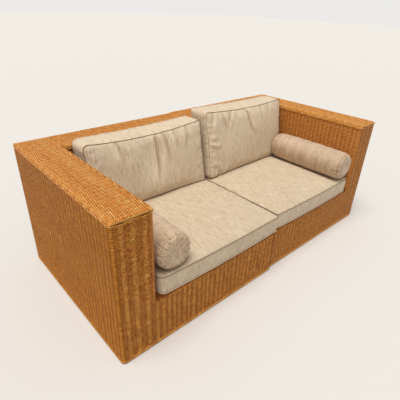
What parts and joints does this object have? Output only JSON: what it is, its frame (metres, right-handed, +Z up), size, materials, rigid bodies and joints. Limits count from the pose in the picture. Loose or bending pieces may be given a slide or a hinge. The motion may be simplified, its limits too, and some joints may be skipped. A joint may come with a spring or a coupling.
{
  "type": "rattan garden sofa",
  "caption": "Low modular garden sofa: woven box arms and back at one height, boxed seat and back cushions with piping, and a bolster at each arm.",
  "frame": {"origin": "on the floor under the middle of the sofa's overall box", "axes": "+X along the sofa from the left module to the right module as seen from the front, +Y to the rear, +Z up"},
  "size_m": [2.1, 1.04, 0.8318],
  "materials": {
    "rattan": "satin woven rattan core, honey orange",
    "frame_wood": "sawn hardwood, unfinished",
    "board_wood": "sanded plywood and slats",
    "glide_plastic": "matte dark plastic",
    "seat_fabric": "slub linen, sand beige",
    "back_fabric": "slub linen, sand beige",
    "bolster_fabric": "slub linen, sand beige, a little pinker"
  },
  "bodies": {
    "left_module": {"left_top_weave": "rattan", "left_arm_outer_weave": "rattan", "left_front_weave": "rattan", "left_back_outer_weave": "rattan", "left_seam_weave": "rattan", "left_arm_inner_weave": "rattan", "left_back_inner_weave": "rattan", "left_arm_front_ladder": "frame_wood", "left_corner_outer_post": "frame_wood", "left_corner_inner_post": "frame_wood", "left_back_end_ladder": "frame_wood", "left_seam_front_post": "frame_wood", "left_bottom_rail_front": "frame_wood", "left_bottom_rail_outer": "frame_wood", "left_bottom_rail_rear": "frame_wood", "left_bottom_rail_seam": "frame_wood", "left_seat_rail_front": "frame_wood", "left_seat_rail_arm": "frame_wood", "left_seat_rail_rear": "frame_wood", "left_seat_rail_seam": "frame_wood", "left_arm_top_board": "board_wood", "left_back_top_board": "board_wood", "left_seat_slat_deck": "board_wood", "left_glide_front_outer": "glide_plastic", "left_glide_front_seam": "glide_plastic", "left_glide_rear_outer": "glide_plastic", "left_glide_rear_seam": "glide_plastic"},
    "left_seat": {"left_seat_cushion": "seat_fabric"},
    "left_backrest": {"left_back_cushion": "back_fabric"},
    "left_roll": {"left_bolster": "bolster_fabric"},
    "right_module": {"right_top_weave": "rattan", "right_arm_outer_weave": "rattan", "right_front_weave": "rattan", "right_back_outer_weave": "rattan", "right_seam_weave": "rattan", "right_arm_inner_weave": "rattan", "right_back_inner_weave": "rattan", "right_arm_front_ladder": "frame_wood", "right_corner_outer_post": "frame_wood", "right_corner_inner_post": "frame_wood", "right_back_end_ladder": "frame_wood", "right_seam_front_post": "frame_wood", "right_bottom_rail_front": "frame_wood", "right_bottom_rail_outer": "frame_wood", "right_bottom_rail_rear": "frame_wood", "right_bottom_rail_seam": "frame_wood", "right_seat_rail_front": "frame_wood", "right_seat_rail_arm": "frame_wood", "right_seat_rail_rear": "frame_wood", "right_seat_rail_seam": "frame_wood", "right_arm_top_board": "board_wood", "right_back_top_board": "board_wood", "right_seat_slat_deck": "board_wood", "right_glide_front_outer": "glide_plastic", "right_glide_front_seam": "glide_plastic", "right_glide_rear_outer": "glide_plastic", "right_glide_rear_seam": "glide_plastic"},
    "right_seat": {"right_seat_cushion": "seat_fabric"},
    "right_backrest": {"right_back_cushion": "back_fabric"},
    "right_roll": {"right_bolster": "bolster_fabric"}
  },
  "joints": [
    {"name": "module_slide", "type": "slide", "parent": "left_module", "child": "right_module", "axis": [1, 0, 0], "range_m": [0, 0.6]},
    {"name": "left_seat_cushion_lift", "type": "slide", "parent": "left_module", "child": "left_seat", "axis": [0, 0, 1], "range_m": [0, 0.5]},
    {"name": "left_back_cushion_lift", "type": "slide", "parent": "left_seat", "child": "left_backrest", "axis": [0, 0, 1], "range_m": [0, 0.4]},
    {"name": "left_bolster_lift", "type": "slide", "parent": "left_seat", "child": "left_roll", "axis": [0, 0, 1], "range_m": [0, 0.4]},
    {"name": "right_seat_cushion_lift", "type": "slide", "parent": "right_module", "child": "right_seat", "axis": [0, 0, 1], "range_m": [0, 0.5]},
    {"name": "right_back_cushion_lift", "type": "slide", "parent": "right_seat", "child": "right_backrest", "axis": [0, 0, 1], "range_m": [0, 0.4]},
    {"name": "right_bolster_lift", "type": "slide", "parent": "right_seat", "child": "right_roll", "axis": [0, 0, 1], "range_m": [0, 0.4]}
  ]
}
